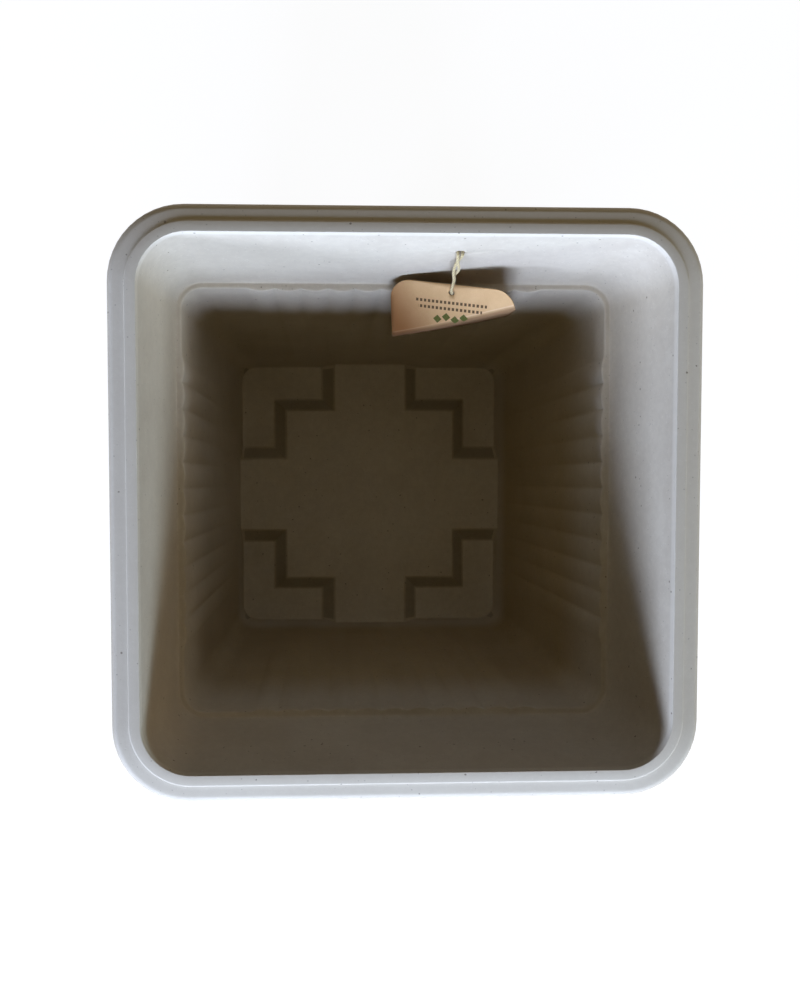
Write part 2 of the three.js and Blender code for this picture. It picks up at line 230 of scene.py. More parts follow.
@dataclass(frozen=True)
class HoleDents:
    """The burr and the faint dents round the twine hole: places in metres, the rest in millimetres."""

    hole: Span = (0.029, 0.2686)
    wall_from: float = 0.12
    burr_radius: float = 3.4
    burr_width: float = 0.9
    burr_span: Span = (-1.0, 3.0)
    burr_height: Span = (0.1, 0.45)
    line_rise: float = 2.0
    line_sag: float = 4.0
    sag_width: float = 9.0
    line_width: float = 1.5
    line_length: float = 19.0
    line_depth: float = 0.35

    def height(self, sheet: NodeSheet, split: bpy.types.Node) -> Socket:
        """Height of the surface, in millimetres.

        Args:
            sheet: The material's nodes.
            split: Object coordinates, split into x, y and z.

        Returns:
            The height's socket.
        """
        x, y, z = split.outputs
        across = sheet.maths("DIVIDE", sheet.maths("SUBTRACT", x, self.hole[0]), MM)
        above = sheet.maths("DIVIDE", sheet.maths("SUBTRACT", z, self.hole[1]), MM)
        away = sheet.maths("SQRT", sheet.total(sheet.product(across, across), sheet.product(above, above)))
        ring = sheet.bell(sheet.maths("SUBTRACT", away, self.burr_radius), self.burr_width)
        burr = sheet.product(ring, sheet.band(across, *self.burr_span, *self.burr_height))
        sag = sheet.product(sheet.bell(across, self.sag_width), self.line_sag)
        off_line = sheet.total(above, sag, -self.line_rise)
        line = sheet.product(sheet.bell(off_line, self.line_width), sheet.bell(across, self.line_length),
                             self.line_depth)
        on_wall = sheet.maths("GREATER_THAN", y, self.wall_from)
        return sheet.product(sheet.maths("SUBTRACT", burr, line), on_wall)


@dataclass(frozen=True)
class SpeckledComposite:
    """Light grey moulded composite with mottling, dark bran specks and pale specks, with painted light on
    the rim's top and painted shade in the floor's pockets and on the walls towards the near right corner.
    """

    base: Colour = (0.523, 0.458, 0.365, 1.0)
    pale: Colour = (0.61, 0.545, 0.44, 1.0)
    # Painted light: the rim's top is painted paler, standing in for the light it catches.
    painted_rim_light: Colour = (0.72, 0.665, 0.565, 1.0)
    painted_rim_light_z: Span = (0.2895, 0.2915)
    painted_rim_light_share: float = 0.5
    # Painted shade: the sloping sides of the floor's pockets are darkened as if in shade.
    pocket_shade: Colour = (0.16, 0.125, 0.08, 1.0)
    pocket_shade_share: float = 0.4
    pocket_low: Span = (0.0034, 0.0056)
    pocket_high: Span = (0.0124, 0.0146)
    pocket_reach: float = 0.1006
    # Painted shade: the lower fluted walls turn browner and darker towards the near right corner, where they
    # stand in shadow.
    painted_shade_tint: Colour = (0.83, 0.74, 0.55, 1.0)
    painted_shade_low: Span = (0.016, 0.04)
    painted_shade_high: Span = (0.15, 0.205)
    painted_shade_side: Triple = (0.6, -0.8, 0.0)
    painted_shade_reach: Span = (-0.07, 0.06)
    flour: Speck = Speck(620.0, 0.42, 0.4, 0.22, (0.74, 0.69, 0.6, 1.0))
    bran: Speck = Speck(210.0, 0.16, 0.34, 0.75, (0.17, 0.13, 0.09, 1.0))
    grit: Speck = Speck(520.0, 0.24, 0.22, 0.4, (0.17, 0.13, 0.09, 1.0))
    dents: HoleDents = HoleDents()
    warp_scale: float = 420.0
    warp_reach: float = 0.0016
    mottle_scale: float = 26.0
    mottle_span: Span = (0.3, 0.7)
    mottle_share: float = 0.45
    cloud_scale: float = 240.0
    cloud_span: Span = (0.35, 0.68)
    cloud_share: float = 0.4
    grain_scale: float = 1400.0
    gloss: float = 0.15
    roughness: float = 0.44
    cloud_roughness: float = 0.12
    grain_roughness: float = 0.1
    grain_relief: float = 0.5
    warp_relief: float = 0.6
    bran_pit: float = 0.5
    bump_depth: float = 0.00012
    bump_strength: float = 0.6

    def in_pockets(self, sheet: NodeSheet, split: bpy.types.Node) -> Socket:
        """Mask of the sloping sides between the floor's platform and its pockets, where shade is painted.

        Args:
            sheet: The material's nodes.
            split: Object coordinates, split into x, y and z.

        Returns:
            The mask's socket.
        """
        x, y, z = split.outputs
        reach = sheet.maths("MAXIMUM", sheet.maths("ABSOLUTE", x), sheet.maths("ABSOLUTE", y))
        return sheet.product(sheet.band(z, *self.pocket_low), sheet.band(z, *self.pocket_high, 1.0, 0.0),
                             sheet.maths("LESS_THAN", reach, self.pocket_reach))

    def painted_shade_mask(self, sheet: NodeSheet, place: Any, z: Any) -> Socket:
        """Mask of the painted shade on the fluted walls, which grows towards the near right corner.

        Args:
            sheet: The material's nodes.
            place: Object coordinates.
            z: Their height.

        Returns:
            The mask's socket.
        """
        side = sheet.add("VectorMath", {0: place, 1: self.painted_shade_side}, operation="DOT_PRODUCT")
        return sheet.product(sheet.band(z, *self.painted_shade_low), sheet.band(z, *self.painted_shade_high, 1.0, 0.0),
                             sheet.band(side.outputs["Value"], *self.painted_shade_reach))

    def make(self) -> bpy.types.Material:
        """Makes the finish.

        Returns:
            The material.
        """
        material, sheet, shader = new_material("speckled_composite")
        place = sheet.add("TexCoord").outputs["Object"]
        split = sheet.add("SeparateXYZ", {0: place})
        z = split.outputs[2]
        inside = sheet.add("Attribute", attribute_name="inside").outputs["Fac"]
        warp = sheet.noise(place, self.warp_scale, 3.0)
        shift = sheet.add("CombineXYZ", {0: sheet.product(warp, self.warp_reach)})
        bent = sheet.add("VectorMath", {0: place, 1: shift.outputs[0]}, operation="ADD").outputs[0]
        mottle = sheet.band(sheet.noise(place, self.mottle_scale, 4.0, 0.6), *self.mottle_span)
        cloud = sheet.band(sheet.noise(place, self.cloud_scale, 3.0, 0.65), *self.cloud_span)
        tone = sheet.total(sheet.product(mottle, self.mottle_share), sheet.product(cloud, self.cloud_share))
        colour = sheet.blend(tone, self.base, self.pale)
        # Painted light: the rim's top turns paler.
        colour = sheet.blend(sheet.band(z, *self.painted_rim_light_z, 0.0, self.painted_rim_light_share), colour, self.painted_rim_light)
        # Painted shade in the floor's pockets, inside only.
        shaded_pockets = sheet.product(self.in_pockets(sheet, split), inside, self.pocket_shade_share)
        colour = sheet.blend(shaded_pockets, colour, self.pocket_shade)
        # Painted shade on the inner walls towards the near right corner.
        shaded_walls = sheet.product(self.painted_shade_mask(sheet, place, z), inside)
        colour = sheet.blend(shaded_walls, colour, self.painted_shade_tint, "MULTIPLY")
        masks = {speck: speck.mask(sheet, bent) for speck in (self.flour, self.bran, self.grit)}
        for speck, mask in masks.items():
            colour = sheet.blend(sheet.product(mask, speck.strength), colour, speck.colour)
        grain = sheet.noise(place, self.grain_scale, 3.0, 0.7)
        rough = sheet.total(sheet.product(cloud, self.cloud_roughness),
                            sheet.product(grain, self.grain_roughness), self.roughness)
        relief = sheet.total(sheet.product(grain, self.grain_relief), sheet.product(warp, self.warp_relief),
                             sheet.product(masks[self.bran], -self.bran_pit))
        dents = sheet.bump(sheet.product(self.dents.height(sheet, split), inside), MM, 1.0)
        bump = sheet.bump(relief, self.bump_depth, self.bump_strength, Normal=dents)
        sheet.fill(shader, {"Base Color": colour, "Roughness": rough, "Normal": bump,
                            "Specular IOR Level": self.gloss})
        return material


@dataclass(frozen=True)
class CottonTwine:
    """Cream cotton twine, with its fibres running along the plies of its UV map."""

    base: Colour = (0.63, 0.52, 0.295, 1.0)
    shade: Colour = (0.39, 0.29, 0.135, 1.0)
    plies: int = 3
    groove_end: float = 0.55
    fibre_scale: Triple = (26.0, 3.0, 1.0)
    streak: Span = (0.25, 0.6)
    streak_tone: Span = (0.55, 1.0)
    roughness: float = 0.92
    gloss: float = 0.2
    sheen: float = 0.35
    sheen_roughness: float = 0.5
    bump_depth: float = 0.0002
    bump_strength: float = 0.7

    def make(self) -> bpy.types.Material:
        """Makes the finish.

        Returns:
            The material.
        """
        material, sheet, shader = new_material("cotton_twine")
        across = sheet.add("UVMap", uv_map="lay").outputs[0]
        fibre = sheet.add("Mapping", {"Vector": across, "Scale": self.fibre_scale}).outputs[0]
        streak = sheet.noise(fibre, 1.0, 4.0, 0.7)
        split = sheet.add("SeparateXYZ", {0: across})
        # Painted shade: the grooves between the plies are coloured darker, varied by random streaks.
        wave = sheet.maths("SINE", sheet.product(split.outputs[0], self.plies * math.pi))
        depth = sheet.band(sheet.maths("ABSOLUTE", wave), 0.0, self.groove_end)
        lit = sheet.product(depth, sheet.band(streak, *self.streak, *self.streak_tone))
        bump = sheet.bump(streak, self.bump_depth, self.bump_strength)
        colour = sheet.blend(lit, self.shade, self.base)
        sheet.fill(shader, {"Base Color": colour, "Roughness": self.roughness, "Normal": bump,
                            "Specular IOR Level": self.gloss, "Sheen Weight": self.sheen,
                            "Sheen Roughness": self.sheen_roughness})
        return material


@dataclass(frozen=True)
class KraftCard:
    """Uncoated brown card with fibres, two printed rows of bars and a row of diamonds, in millimetres, with
    a painted shadow at its lower left, painted shade on its bent-back flap and a painted highlight along its
    crease.
    """

    base: Colour = (0.63, 0.392, 0.19, 1.0)
    pale: Colour = (0.72, 0.473, 0.243, 1.0)
    cloud_scale: float = 0.12
    fibre_lays: tuple[tuple[float, Triple], ...] = ((0.5, (0.55, 4.5, 1.0)), (-0.9, (4.2, 0.5, 1.0)))
    tone_shares: Span = (0.5, 0.35)
    tone_span: Span = (0.4, 0.8)
    fleck_span: Span = (0.66, 0.74)
    fleck_share: float = 0.35
    # Painted shadow: the card darkens towards its lower left, standing in for the shadow cast there.
    lower_left_shadow: Colour = (0.3, 0.128, 0.042, 1.0)
    lower_left_shadow_toward: Span = (-0.8, -0.6)
    lower_left_shadow_span: Span = (8.0, 40.0)
    lower_left_shadow_share: float = 0.95
    shade: Colour = (0.17, 0.09, 0.042, 1.0)
    shade_share: float = 0.82
    # Painted highlight: a pale line along the crease, stronger towards the right, standing in for light on
    # the bend.
    crease_highlight: Colour = (0.8, 0.585, 0.38, 1.0)
    crease_highlight_share: float = 0.55
    crease_highlight_from: float = 0.2
    crease_highlight_span: Span = (-12.0, 14.0)
    crease_highlight_reach: Span = (0.3, 1.0)
    ink: Colour = (0.085, 0.045, 0.02, 1.0)
    green: Colour = (0.075, 0.095, 0.014, 1.0)
    line_rows: tuple[Triple, ...] = ((-5.9, -21.0, 20.0), (-9.5, -19.0, 17.5))
    bar_pitch: float = 2.3
    bar_height: Span = (0.7, 1.0)
    bar_fill: Span = (0.24, 0.36)
    diamonds: tuple[Span, ...] = ((-7.6, -16.0), (-2.6, -14.4), (2.4, -15.6), (7.4, -14.0))
    diamond_size: Span = (2.3, 2.6)
    ink_span: Span = (0.2, 0.5)
    ink_cover: Span = (0.6, 0.95)
    roughness: float = 0.88
    gloss: float = 0.25
    bump_depth: float = 0.00008
    bump_strength: float = 0.6

    def bar_row(self, sheet: NodeSheet, x: Any, y: Any, row: Triple) -> Socket:
        """Mask of one row of bars.

        Args:
            sheet: The material's nodes.
            x: Millimetres across the card.
            y: Millimetres up the card.
            row: Height of the row, and its left and right ends.

        Returns:
            The mask's socket.
        """
        height, left, right = row
        off_line = sheet.maths("ABSOLUTE", sheet.maths("SUBTRACT", y, height))
        pitch = sheet.maths("FRACT", sheet.maths("DIVIDE", x, self.bar_pitch))
        off_bar = sheet.maths("ABSOLUTE", sheet.maths("SUBTRACT", pitch, 0.5))
        return sheet.product(sheet.band(off_line, *self.bar_height, 1.0, 0.0),
                             sheet.band(off_bar, *self.bar_fill, 1.0, 0.0),
                             sheet.maths("GREATER_THAN", x, left), sheet.maths("LESS_THAN", x, right))

    def diamond(self, sheet: NodeSheet, x: Any, y: Any, centre: Span) -> Socket:
        """Mask of one diamond.

        Args:
            sheet: The material's nodes.
            x: Millimetres across the card.
            y: Millimetres up the card.
            centre: The diamond's place.

        Returns:
            The mask's socket.
        """
        aside = sheet.maths("ABSOLUTE", sheet.maths("SUBTRACT", x, centre[0]))
        above = sheet.maths("ABSOLUTE", sheet.maths("SUBTRACT", y, centre[1]))
        return sheet.band(sheet.total(aside, above), *self.diamond_size, 1.0, 0.0)

    def fibres(self, sheet: NodeSheet, flat: Any, turn: float, scale: Triple) -> Any:
        """Noise drawn out along one direction of the card."""
        drawn = sheet.add("Mapping", {"Vector": flat, "Rotation": (0, 0, turn), "Scale": scale}).outputs[0]
        return sheet.noise(drawn, 1.0, 3.0, 0.7)

    def make(self) -> bpy.types.Material:
        """Makes the finish.

        Returns:
            The material.
        """
        material, sheet, shader = new_material("kraft_card")
        flat = sheet.add("UVMap", uv_map="card").outputs[0]
        split = sheet.add("SeparateXYZ", {0: flat})
        x, y = split.outputs[0], split.outputs[1]
        cloud = sheet.noise(flat, self.cloud_scale, 3.0)
        fibre_a, fibre_b = (self.fibres(sheet, flat, *lay) for lay in self.fibre_lays)
        felt = sheet.total(fibre_a, fibre_b)
        tone = sheet.total(*map(sheet.product, (cloud, felt), self.tone_shares))
        colour = sheet.blend(sheet.band(tone, *self.tone_span), self.base, self.pale)
        fleck = sheet.band(fibre_a, *self.fleck_span)
        colour = sheet.blend(sheet.product(fleck, self.fleck_share), colour, self.ink)
        # Painted shadow towards the card's lower left.
        low = sheet.total(*map(sheet.product, (x, y), self.lower_left_shadow_toward))
        colour = sheet.blend(sheet.band(low, *self.lower_left_shadow_span, 0.0, self.lower_left_shadow_share), colour, self.lower_left_shadow)
        # Painted shade on the flap that bends back past the crease.
        turned = sheet.add("Attribute", attribute_name="turned").outputs["Fac"]
        colour = sheet.blend(sheet.product(turned, self.shade_share), colour, self.shade)
        # Painted highlight along the crease.
        crease = sheet.add("Attribute", attribute_name="crease").outputs["Fac"]
        crease_highlight = sheet.product(sheet.band(crease, self.crease_highlight_from, 1.0, 0.0, self.crease_highlight_share),
                             sheet.band(x, *self.crease_highlight_span, *self.crease_highlight_reach))
        colour = sheet.blend(crease_highlight, colour, self.crease_highlight)
        press = sheet.band(fibre_b, *self.ink_span, *self.ink_cover)
        for row in self.line_rows:
            colour = sheet.blend(sheet.product(self.bar_row(sheet, x, y, row), press), colour, self.ink)
        for centre in self.diamonds:
            colour = sheet.blend(sheet.product(self.diamond(sheet, x, y, centre), press), colour, self.green)
        bump = sheet.bump(felt, self.bump_depth, self.bump_strength)
        sheet.fill(shader, {"Base Color": colour, "Roughness": self.roughness, "Normal": bump,
                            "Specular IOR Level": self.gloss})
        return material


def new_piece(name: str, bm: BMesh, material: bpy.types.Material) -> bpy.types.Object:
    """Turns a bmesh into a smooth object at the origin.

    Args:
        name: The piece's name.
        bm: Its mesh, which is freed.
        material: Its finish.

    Returns:
        The new object.
    """
    mesh = bpy.data.meshes.new(name)
    bm.to_mesh(mesh)
    bm.free()
    mesh.materials.append(material)
    mesh.shade_smooth()
    piece = bpy.data.objects.new(name, mesh)
    bpy.context.scene.collection.objects.link(piece)
    return piece


def seat(piece: bpy.types.Object, body: Body, slot: Slot, *nodes: str) -> bpy.types.Object:
    """Rides a piece on its body, and hides the CAD nodes that it stands for.

    Args:
        piece: The object.
        body: The body that carries it.
        slot: Its material slot; not used.
        nodes: The names of the CAD nodes.

    Returns:
        The same object.
    """
    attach(piece, body.value)
    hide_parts(*nodes)
    LOG.info("%s: %d faces on %s", piece.name, len(piece.data.polygons), body.value)
    return piece


def grow_ring(bm: BMesh, ring: list[BMEdge]) -> tuple[list[BMVert], list[BMEdge]]:
    """Extrudes a ring of edges in place.

    Args:
        bm: The mesh.
        ring: The open ring.

    Returns:
        The new ring's vertices and edges.
    """
    grown = bmesh.ops.extrude_edge_only(bm, edges=ring)["geom"]
    verts = [g for g in grown if isinstance(g, BMVert)]
    fresh = set(verts)
    edges = [g for g in grown if isinstance(g, BMEdge) and g.verts[0] in fresh and g.verts[1] in fresh]
    return verts, edges


def with_borders(faces: Iterable[BMFace]) -> list[BMFace | BMEdge | BMVert]:
    """Faces together with their edges and corners."""
    faces = list(faces)
    return [*faces, *{e for f in faces for e in f.edges}, *{v for f in faces for v in f.verts}]


@dataclass(frozen=True)
class Level:
    """One outline of the pot: height, half width, corner radius and flute depth, in millimetres."""

    z: float
    half: float
    corner: float
    flute: float = 0.0


@dataclass(frozen=True)
class Station:
    """A point's place along an outline: its side, its share along the flutes or the corner, its bulge."""

    side: int
    along: float
    turn: float | None = None
    bulge: float = 0.0


@dataclass(frozen=True)
class FloorSide:
    """One side of the floor: a cross-shaped platform whose corners go down into the feet, in millimetres."""

    top: float
    bottom: float
    arm: float
    cross: float
    lean: float
    half: float
    low_half: float
    corner: float
    slack: float = 1e-4

    def faces(self, bm: BMesh) -> list[BMFace]:
        """Faces that lie on the platform's height."""
        return [f for f in bm.faces if all(abs(v.co.z - self.top * MM) < TOUCH for v in f.verts)]

    def cut(self, bm: BMesh) -> None:
        """Cuts the floor along the sides of the cross.

        Args:
            bm: The pot's mesh.
        """
        for axis in ((1, 0, 0), (0, 1, 0)):
            for at in (self.arm, self.cross, -self.arm, -self.cross):
                geom, place = with_borders(self.faces(bm)), Vector(axis) * at * MM
                bmesh.ops.bisect_plane(bm, geom=geom, dist=TOUCH, plane_co=place, plane_no=axis)

    def lands(self, value: float) -> float:
        """Where a coordinate of a foot's outline lands at the foot's bottom.

        Args:
            value: The coordinate on the platform's height.

        Returns:
            The coordinate.
        """
        inner, shrink = self.half - self.corner, self.half - self.low_half
        knots = ((self.arm, self.arm + self.lean), (self.cross, self.cross + self.lean),
                 (inner, inner - shrink), (self.half, self.low_half))
        size = abs(value)
        for (a, to_a), (b, to_b) in zip(knots, knots[1:]):
            if size <= b + self.slack:
                return math.copysign(mix(to_a, to_b, (size - a) / (b - a)), value)
        return math.copysign(size - shrink, value)

    def press(self, bm: BMesh) -> None:
        """Presses the four L-shaped feet down from the floor.

        Args:
            bm: The pot's mesh.
        """
        for side_x in (1, -1):
            for side_y in (1, -1):
                faces = []
                for face in self.faces(bm):
                    centre = face.calc_center_median() / MM
                    x, y = centre.x * side_x, centre.y * side_y
                    if min(x, y) > self.arm and max(x, y) > self.cross:
                        faces.append(face)
                pressed = bmesh.ops.extrude_face_region(bm, geom=with_borders(faces))["geom"]
                for vert in (g for g in pressed if isinstance(g, BMVert)):
                    x, y = (self.lands(c / MM) for c in vert.co.xy)
                    vert.co = Vector((x, y, self.bottom)) * MM


@dataclass
class PotShell:
    """The moulded pot: one skin up its outside, over the rim and down to the floor, with hollow feet."""

    rim_width: float = 296.0
    height: float = 294.0
    wall: float = 3.0
    lip_width: float = 6.0
    lip_rise: float = 1.7
    lip_edge: float = 1.3
    lip_inside_edge: float = 0.4
    lip_fall: float = 0.2
    lip_foot: float = 0.3
    lip_hollow: tuple[Span, ...] = ((0.3, 0.0), (0.07, 0.07), (0.0, 0.25))
    flange_fall: float = 0.15
    flange: float = 9.0
    flange_edge: float = 4.5
    skirt_drop: float = 34.0
    skirt_edge: float = 0.8
    skirt_inner_edge: float = 0.3
    skirt_shares: Span = (0.35, 0.7)
    collar_drop: float = 75.2
    collar_taper: float = 8.3
    step: float = 3.5
    step_edge: float = 0.8
    ledge_shares: Triple = (0.6, 0.5, 0.45)
    body_taper: float = 17.9
    rim_corner: float = 38.0
    lip_corner: float = 25.0
    collar_corner: float = 15.0
    body_corner: float = 12.0
    flutes: int = 11
    fluted_share: float = 0.69
    flute_depth: float = 1.5
    flute_end: float = 16.0
    flute_power: float = 0.74
    foot_height: float = 12.0
    foot_slope: float = 11.0
    cross_half: float = 66.2
    arm_half: float = 27.7
    floor_edge: float = 1.6
    floor_sharp: float = 24.0
    floor_slack: float = 0.01
    hole: Triple = (29.0, 25.4, 2.4)
    hole_sides: int = 32
    gate_radius: float = 1.6
    gate_depth: float = 1.0
    sharp: float = 38.0
    flute_shares: tuple[float, ...] = (0.0, 0.07, 0.2, 0.35, 0.5, 0.65, 0.8, 0.93)
    corner_steps: int = 12
    edge_steps: int = 3
    lip_steps: int = 6
    flange_steps: int = 10
    collar_steps: int = 4
    inner_collar_steps: int = 9
    outer_steps: int = 10
    inner_steps: int = 14

    def __post_init__(self) -> None:
        """Works out the half widths and heights that follow from the sizes."""
        self.skirt_half = self.rim_width / 2
        self.lip_outer = self.skirt_half - self.flange
        self.lip_inner = self.lip_outer - self.lip_width
        self.collar_half = self.lip_inner - self.collar_taper
        self.body_half = self.collar_half - self.step
        self.floor_half = self.body_half - self.body_taper
        self.step_z = self.height - self.collar_drop
        self.flange_z = self.height - self.lip_rise
        self.skirt_z = self.height - self.skirt_drop
        self.floor_z = self.foot_height + self.wall
        self.flute_z = self.floor_z + self.flute_end
        self.stations = self.list_stations()

    def list_stations(self) -> list[Station]:
        """Points of an outline, anticlockwise from the right-hand wall.

        Returns:
            The points' places along the outline.
        """
        found = []
        for side in range(4):
            for flute in range(self.flutes):
                for share in self.flute_shares:
                    along = 2 * (flute + share) / self.flutes - 1
                    found.append(Station(side, along, None, 4 * share * (1 - share)))
            found.append(Station(side, 1.0))
            found += [Station(side, 1.0, turn) for turn in spread(0.0, 1.0, self.corner_steps)]
        return found

    def point(self, level: Level, station: Station) -> Vector:
        """Place of a station on a level.

        Args:
            level: The outline.
            station: The place along it.

        Returns:
            The point, in metres.
        """
        if station.turn is None:
            x, y = level.half - level.flute * station.bulge, station.along * level.half * self.fluted_share
        else:
            straight, angle = level.half - level.corner, station.turn * QUARTER
            x, y = straight + level.corner * math.cos(angle), straight + level.corner * math.sin(angle)
        for _ in range(station.side):
            x, y = -y, x
        return Vector((x, y, level.z)) * MM

    def collar_at(self, z: float) -> float:
        """Half width of the inside of the collar at a height."""
        return mix(self.collar_half, self.lip_inner, (z - self.step_z) / self.collar_drop)

    def collar_corner_at(self, z: float) -> float:
        """Corner radius of the inside of the collar at a height."""
        return mix(self.collar_corner, self.lip_corner, (z - self.step_z) / self.collar_drop)

    def body_at(self, z: float) -> float:
        """Half width of the inside of the fluted body at a height."""
        return mix(self.floor_half, self.body_half, (z - self.floor_z) / (self.step_z - self.floor_z))

    def flute_at(self, z: float) -> float:
        """Depth of the flutes at a height."""
        rise = max(0.0, (z - self.flute_z) / (self.step_z - self.flute_z))
        return self.flute_depth * rise ** self.flute_power

    def rim(self, z: float, half: float) -> Level:
        """An outline of the rim, whose corners grow from the lip to the skirt."""
        share = (half - self.lip_outer) / self.flange
        return Level(z, half, mix(self.lip_corner + self.lip_width, self.rim_corner, share))

    def outer_levels(self) -> list[Level]:
        """Outlines from the underside up the outside of body and collar, and down inside the skirt.

        Returns:
            The outlines in order.
        """
        wall, top, roof = self.wall, self.step_z - self.wall, self.flange_z - self.wall
        plain = mix(self.foot_height, self.flute_z, 0.5)
        levels = []
        for z in (self.foot_height, plain, *spread(self.flute_z, top, self.outer_steps)):
            levels.append(Level(z, self.body_at(z) + wall, self.body_corner + wall, self.flute_at(z)))
        levels.append(Level(top, self.collar_half + wall, self.collar_corner + wall))
        for z in spread(self.step_z, roof, self.collar_steps):
            levels.append(Level(z, self.collar_at(z) + wall, self.collar_corner_at(z) + wall))
        inside, edge = self.skirt_half - wall, self.flange_edge - wall
        for angle in spread(0.0, QUARTER, self.edge_steps):
            levels.append(self.rim(roof - edge * (1 - math.cos(angle)),
                                   inside - edge * (1 - math.sin(angle))))
        levels.append(self.rim(mix(roof - edge, self.skirt_z, 0.5), inside))
        levels.append(self.rim(self.skirt_z + self.skirt_inner_edge, inside))
        levels.append(self.rim(self.skirt_z, inside + self.skirt_inner_edge))
        return levels

    def rim_levels(self) -> list[Level]:
        """Outlines from the skirt's foot over the flange to the inner edge of the lip.

        Returns:
            The outlines in order.
        """
        foot, half, fall, bend = self.skirt_z, self.skirt_half, self.flange_fall, self.flange_edge
        slope = self.flange - bend * (1 - math.sin(fall))
        turn_z = self.flange_z - slope * math.tan(fall) - bend * math.cos(fall)
        levels = []
        for angle in spread(0.0, QUARTER, self.edge_steps):
            levels.append(self.rim(foot + self.skirt_edge * (1 - math.cos(angle)),
                                   half - self.skirt_edge * (1 - math.sin(angle))))
        levels += [self.rim(mix(foot, turn_z, share), half) for share in self.skirt_shares]
        for angle in spread(0.0, QUARTER - fall, self.flange_steps):
            levels.append(self.rim(turn_z + bend * math.sin(angle), half - bend * (1 - math.cos(angle))))
        outer, edge, inside, crease = self.lip_outer, self.lip_edge, self.lip_inside_edge, self.flange_z
        levels.append(self.rim(crease - slope * math.tan(fall) / 2, outer + slope / 2))
        levels += [self.rim(crease + up, outer + out) for out, up in self.lip_hollow]
        crown = self.height - self.lip_fall * (self.lip_width - edge - inside)
        for angle in spread(0.0, QUARTER - self.lip_fall, self.lip_steps):
            z = mix(crease + self.lip_foot, crown, math.sin(angle))
            levels.append(self.rim(z, outer - edge * (1 - math.cos(angle))))
        for angle in spread(0.0, QUARTER, self.lip_steps):
            in_by = inside * (1 - math.sin(angle))
            z = self.height - inside * (1 - math.cos(angle))
            levels.append(Level(z, self.lip_inner + in_by, self.lip_corner + in_by))
        return levels

    def inner_levels(self) -> list[Level]:
        """Outlines from below the lip down the collar, over the ledge and down the fluted body.

        Returns:
            The outlines in order.
        """
        edge, ledge = self.step_edge, self.body_half + self.step_edge
        levels = []
        for z in spread(self.height - self.lip_inside_edge, self.step_z + edge, self.inner_collar_steps, 1):
            levels.append(Level(z, self.collar_at(z), self.collar_corner_at(z)))
        for angle in spread(0.0, QUARTER, self.edge_steps, 1):
            levels.append(Level(self.step_z + edge * (1 - math.sin(angle)),
                                self.collar_half - edge * (1 - math.cos(angle)), self.collar_corner))
        across, turned, fluted = self.ledge_shares
        levels.append(Level(self.step_z, mix(self.collar_half, ledge, across),
                            mix(self.collar_corner, self.body_corner, turned), self.flute_depth * fluted))
        for angle in spread(0.0, QUARTER, self.edge_steps):
            levels.append(Level(self.step_z - edge * (1 - math.cos(angle)), ledge - edge * math.sin(angle),
                                self.body_corner, self.flute_depth))
        for z in spread(self.step_z - edge, self.flute_z, self.inner_steps, 1):
            levels.append(Level(z, self.body_at(z), self.body_corner, self.flute_at(z)))
        for z in (mix(self.flute_z, self.floor_z, 0.5), self.floor_z):
            levels.append(Level(z, self.body_at(z), self.body_corner))
        return levels

    def skin(self) -> BMesh:
        """The pot's closed skin, its floor still flat on both sides.

        Returns:
            The mesh.
        """
        bm = bmesh.new()
        mark = bm.verts.layers.int.new("station")
        inside = bm.verts.layers.float.new("inside")
        verts = bmesh.ops.create_circle(bm, cap_ends=False, radius=1.0, segments=len(self.stations))["verts"]
        first = ring = list(bm.edges)
        for index, vert in enumerate(verts):
            vert[mark] = index
        levels = self.outer_levels() + self.rim_levels()
        inner = len(levels)
        for number, level in enumerate(levels + self.inner_levels()):
            if number:
                verts, ring = grow_ring(bm, ring)
            for vert in verts:
                vert.co = self.point(level, self.stations[vert[mark]])
                vert[inside] = float(number >= inner)
        for end in (first, ring):
            bmesh.ops.contextual_create(bm, geom=end)
        return bm

    def floor_sides(self) -> tuple[FloorSide, FloorSide]:
        """The floor's inside with its pockets, and its underside with its feet.

        Returns:
            The two sides of the floor.
        """
        wall, per_rise = self.wall, self.foot_slope / self.foot_height
        shift = wall * (per_rise - math.hypot(per_rise, 1.0))
        inside = FloorSide(self.floor_z, wall, self.arm_half, self.cross_half, self.foot_slope,
                           self.floor_half, self.body_at(wall), self.body_corner)
        under = FloorSide(self.foot_height, 0.0, self.arm_half + shift, self.cross_half + shift,
                          self.foot_slope, self.body_at(self.foot_height) + wall, self.body_at(0.0) + wall,
                          self.body_corner + wall)
        return inside, under

    def ease_floor(self, bm: BMesh) -> None:
        """Rounds the edges of the floor and its feet.

        Args:
            bm: The pot's mesh.
        """
        high, sharp = (self.floor_z + self.floor_slack) * MM, math.radians(self.floor_sharp)
        edges = [e for e in bm.edges if len(e.link_faces) == 2 and e.calc_face_angle(0.0) > sharp
                 and all(v.co.z < high for v in e.verts)]
        bmesh.ops.bevel(bm, geom=edges, offset=self.floor_edge * MM, offset_type="OFFSET", profile=0.5,
                        segments=self.edge_steps, affect="EDGES", material=-1, clamp_overlap=True)

